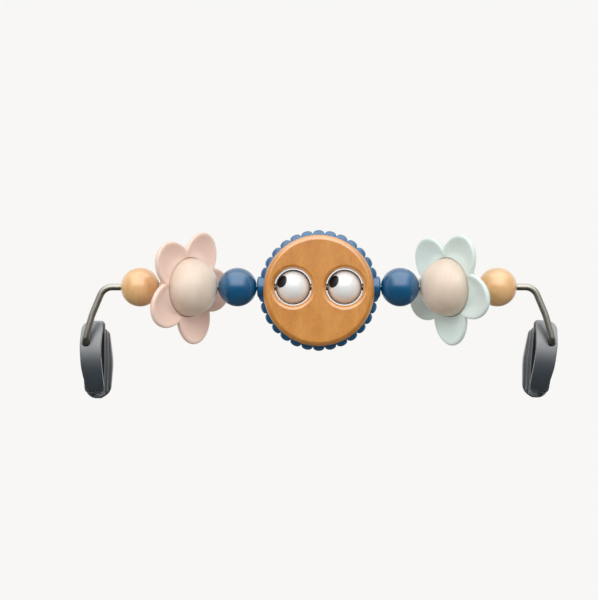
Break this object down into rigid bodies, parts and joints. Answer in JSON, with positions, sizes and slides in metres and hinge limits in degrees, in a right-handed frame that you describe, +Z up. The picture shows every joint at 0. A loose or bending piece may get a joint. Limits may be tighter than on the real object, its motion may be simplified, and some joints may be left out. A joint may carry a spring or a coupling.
{
  "type": "bouncer toy bar",
  "caption": "Toy bar for a baby bouncer: bent steel rod with turning wooden beads, petal flowers and a disc with rolling eyes, held by a swivelling clip at each end.",
  "frame": {"origin": "midway between the two clips' tube channels, at their mid-length", "axes": "+X along the bar to the viewer's right, -Y towards the viewer of the disc's face, +Z up"},
  "size_m": [0.4353, 0.0822, 0.1528],
  "materials": {
    "steel": "satin, bent rod",
    "natural_wood": "oiled, fine grain",
    "blue_lacquer": "blue lacquer, satin gloss",
    "pale_wood": "bare, sanded",
    "pink_petals": "soft pink, matt",
    "mint_petals": "soft mint, matt",
    "amber_wood": "oiled, fine grain",
    "blue_plate": "blue, satin gloss",
    "eye_white": "white, gloss",
    "pupil_black": "black, gloss",
    "nylon": "natural nylon",
    "dowel_wood": "bare",
    "clip": "slate grey, satin",
    "liner": "dark grey, matt"
  },
  "bodies": {
    "bar": {"bar_rod": "steel", "left_retaining_washer": "steel", "right_retaining_washer": "steel"},
    "left_clip": {"left_clip_shell": "clip", "left_clip_liner": "liner"},
    "left_natural_bead": {"left_natural_bead": "natural_wood"},
    "left_flower": {"left_flower_ball_front": "pale_wood", "left_flower_ball_rear": "pale_wood", "left_flower_petals": "pink_petals", "left_flower_sleeve": "nylon", "left_flower_upper_dowel": "dowel_wood", "left_flower_lower_dowel": "dowel_wood"},
    "left_blue_bead": {"left_blue_bead": "blue_lacquer"},
    "left_eye": {"left_eyeball": "eye_white", "left_pupil": "pupil_black"},
    "right_clip": {"right_clip_shell": "clip", "right_clip_liner": "liner"},
    "right_natural_bead": {"right_natural_bead": "natural_wood"},
    "right_flower": {"right_flower_ball_front": "pale_wood", "right_flower_ball_rear": "pale_wood", "right_flower_petals": "mint_petals", "right_flower_sleeve": "nylon", "right_flower_upper_dowel": "dowel_wood", "right_flower_lower_dowel": "dowel_wood"},
    "right_blue_bead": {"right_blue_bead": "blue_lacquer"},
    "right_eye": {"right_eyeball": "eye_white", "right_pupil": "pupil_black"},
    "disc": {"disc_front": "amber_wood", "disc_rear": "amber_wood", "scalloped_plate": "blue_plate", "disc_bush_left": "nylon", "disc_bush_right": "nylon", "disc_dowel_1": "dowel_wood", "disc_dowel_2": "dowel_wood", "disc_dowel_3": "dowel_wood"}
  },
  "joints": [
    {"name": "left_clip_swivel", "type": "hinge", "parent": "bar", "child": "left_clip", "pos_m": [-0.211, -0.0205, 0.01705], "axis": [0, 1, 0], "range_deg": [-15, 15]},
    {"name": "left_natural_bead_spin", "type": "hinge", "parent": "bar", "child": "left_natural_bead", "pos_m": [-0.1607, -0.0205, 0.06675], "axis": [1, 0, 0], "continuous": true},
    {"name": "left_flower_spin", "type": "hinge", "parent": "bar", "child": "left_flower", "pos_m": [-0.1169, -0.0205, 0.06675], "axis": [1, 0, 0], "continuous": true},
    {"name": "left_blue_bead_spin", "type": "hinge", "parent": "bar", "child": "left_blue_bead", "pos_m": [-0.0731, -0.0205, 0.06675], "axis": [1, 0, 0], "continuous": true},
    {"name": "left_eye_spin", "type": "hinge", "parent": "bar", "child": "left_eye", "pos_m": [-0.0231, -0.0205, 0.06675], "axis": [1, 0, 0], "continuous": true},
    {"name": "right_clip_swivel", "type": "hinge", "parent": "bar", "child": "right_clip", "pos_m": [0.211, -0.0205, 0.01705], "axis": [0, 1, 0], "range_deg": [-15, 15]},
    {"name": "right_natural_bead_spin", "type": "hinge", "parent": "bar", "child": "right_natural_bead", "pos_m": [0.1607, -0.0205, 0.06675], "axis": [1, 0, 0], "continuous": true},
    {"name": "right_flower_spin", "type": "hinge", "parent": "bar", "child": "right_flower", "pos_m": [0.1169, -0.0205, 0.06675], "axis": [1, 0, 0], "continuous": true},
    {"name": "right_blue_bead_spin", "type": "hinge", "parent": "bar", "child": "right_blue_bead", "pos_m": [0.0731, -0.0205, 0.06675], "axis": [1, 0, 0], "continuous": true},
    {"name": "right_eye_spin", "type": "hinge", "parent": "bar", "child": "right_eye", "pos_m": [0.0231, -0.0205, 0.06675], "axis": [1, 0, 0], "continuous": true},
    {"name": "disc_spin", "type": "hinge", "parent": "bar", "child": "disc", "pos_m": [0, -0.0205, 0.06675], "axis": [1, 0, 0], "continuous": true}
  ]
}
